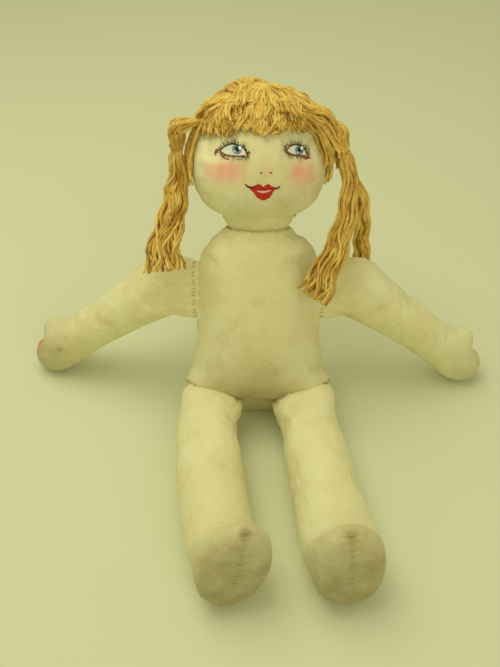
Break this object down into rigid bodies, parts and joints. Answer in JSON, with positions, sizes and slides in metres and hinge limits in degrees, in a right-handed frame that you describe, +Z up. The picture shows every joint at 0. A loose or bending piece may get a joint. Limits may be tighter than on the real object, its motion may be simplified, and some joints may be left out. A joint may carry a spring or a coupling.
{
  "type": "stuffed rag doll",
  "caption": "Sitting stuffed cloth doll with a painted face, yarn pigtails, mitten hands and turned-up feet; head, arms and legs move at their seams.",
  "frame": {"origin": "middle of the flat patch of the seat that rests on the floor", "axes": "+Z up, the doll faces -Y, +X to the right as seen from the front"},
  "size_m": [0.4775, 0.4008, 0.2971],
  "materials": {
    "muslin": "plain weave, unbleached, lightly soiled, with a painted face",
    "stuffing": "loose fibre",
    "yarn": "crinkled straw-gold knitting wool",
    "thread": "matt cotton sewing thread"
  },
  "bodies": {
    "torso": {"torso_front_cover": "muslin", "torso_back_cover": "muslin", "torso_stuffing": "stuffing"},
    "neck": {"neck_seam": "thread"},
    "head": {"head_front_cover": "muslin", "head_back_cover": "muslin", "head_stuffing": "stuffing", "fringe_yarn": "yarn", "crown_yarn": "yarn", "back_hair_yarn": "yarn"},
    "left_pigtail": {"left_pigtail_yarn": "yarn", "left_pigtail_tie": "thread"},
    "right_front_pigtail": {"right_front_lock": "yarn", "right_front_tie": "thread"},
    "right_rear_pigtail": {"right_rear_lock": "yarn", "right_rear_tie": "thread"},
    "left_shoulder": {"left_shoulder_seam": "thread"},
    "left_arm": {"left_arm_front_cover": "muslin", "left_arm_back_cover": "muslin", "left_arm_stuffing": "stuffing"},
    "left_hip": {"left_hip_seam": "thread"},
    "left_leg": {"left_leg_cover": "muslin", "left_leg_stuffing": "stuffing", "left_sole_seam": "thread"},
    "right_shoulder": {"right_shoulder_seam": "thread"},
    "right_arm": {"right_arm_front_cover": "muslin", "right_arm_back_cover": "muslin", "right_arm_stuffing": "stuffing"},
    "right_hip": {"right_hip_seam": "thread"},
    "right_leg": {"right_leg_cover": "muslin", "right_leg_stuffing": "stuffing", "right_sole_seam": "thread"}
  },
  "joints": [
    {"name": "neck_turn", "type": "hinge", "parent": "torso", "child": "neck", "pos_m": [0, 0.089, 0.19036], "axis": [0, 0.5, 0.866], "range_deg": [-30, 30]},
    {"name": "head_nod", "type": "hinge", "parent": "neck", "child": "head", "pos_m": [0, 0.089, 0.19036], "axis": [1, 0, 0], "range_deg": [-15, 20], "deforming": ["left_pigtail_yarn", "right_front_lock", "right_rear_lock"]},
    {"name": "left_pigtail_swing", "type": "hinge", "parent": "head", "child": "left_pigtail", "pos_m": [-0.07434, 0.10533, 0.26282], "axis": [0, -1, 0], "range_deg": [-50, 0]},
    {"name": "right_front_pigtail_swing", "type": "hinge", "parent": "head", "child": "right_front_pigtail", "pos_m": [0.07371, 0.10517, 0.26026], "axis": [0, -1, 0], "range_deg": [0, 50]},
    {"name": "right_rear_pigtail_swing", "type": "hinge", "parent": "head", "child": "right_rear_pigtail", "pos_m": [0.08379, 0.11337, 0.22694], "axis": [0, -1, 0], "range_deg": [0, 35]},
    {"name": "left_shoulder_swing", "type": "hinge", "parent": "torso", "child": "left_shoulder", "pos_m": [-0.0619, 0.05, 0.1228], "axis": [0, 0.5, 0.866], "range_deg": [-15, 80]},
    {"name": "left_arm_raise", "type": "hinge", "parent": "left_shoulder", "child": "left_arm", "pos_m": [-0.09448, 0.06083, 0.11655], "axis": [0.3584, 0.8085, -0.4668], "range_deg": [-25, 90]},
    {"name": "left_hip_flex", "type": "hinge", "parent": "torso", "child": "left_hip", "pos_m": [-0.0435, -0.0168, 0.033], "axis": [-0.9848, 0.1736, 0], "range_deg": [-60, 25]},
    {"name": "left_leg_spread", "type": "hinge", "parent": "left_hip", "child": "left_leg", "pos_m": [-0.04921, -0.04918, 0.033], "axis": [0, 0, 1], "range_deg": [-12, 3]},
    {"name": "right_shoulder_swing", "type": "hinge", "parent": "torso", "child": "right_shoulder", "pos_m": [0.0619, 0.05, 0.1228], "axis": [0, -0.5, -0.866], "range_deg": [-15, 80]},
    {"name": "right_arm_raise", "type": "hinge", "parent": "right_shoulder", "child": "right_arm", "pos_m": [0.09528, 0.05884, 0.1177], "axis": [0.2924, -0.8282, 0.4782], "range_deg": [-25, 90]},
    {"name": "right_hip_flex", "type": "hinge", "parent": "torso", "child": "right_hip", "pos_m": [0.0435, -0.0168, 0.033], "axis": [-0.9848, -0.1736, 0], "range_deg": [-60, 25]},
    {"name": "right_leg_spread", "type": "hinge", "parent": "right_hip", "child": "right_leg", "pos_m": [0.04921, -0.04918, 0.033], "axis": [0, 0, 1], "range_deg": [-6, 8]}
  ]
}
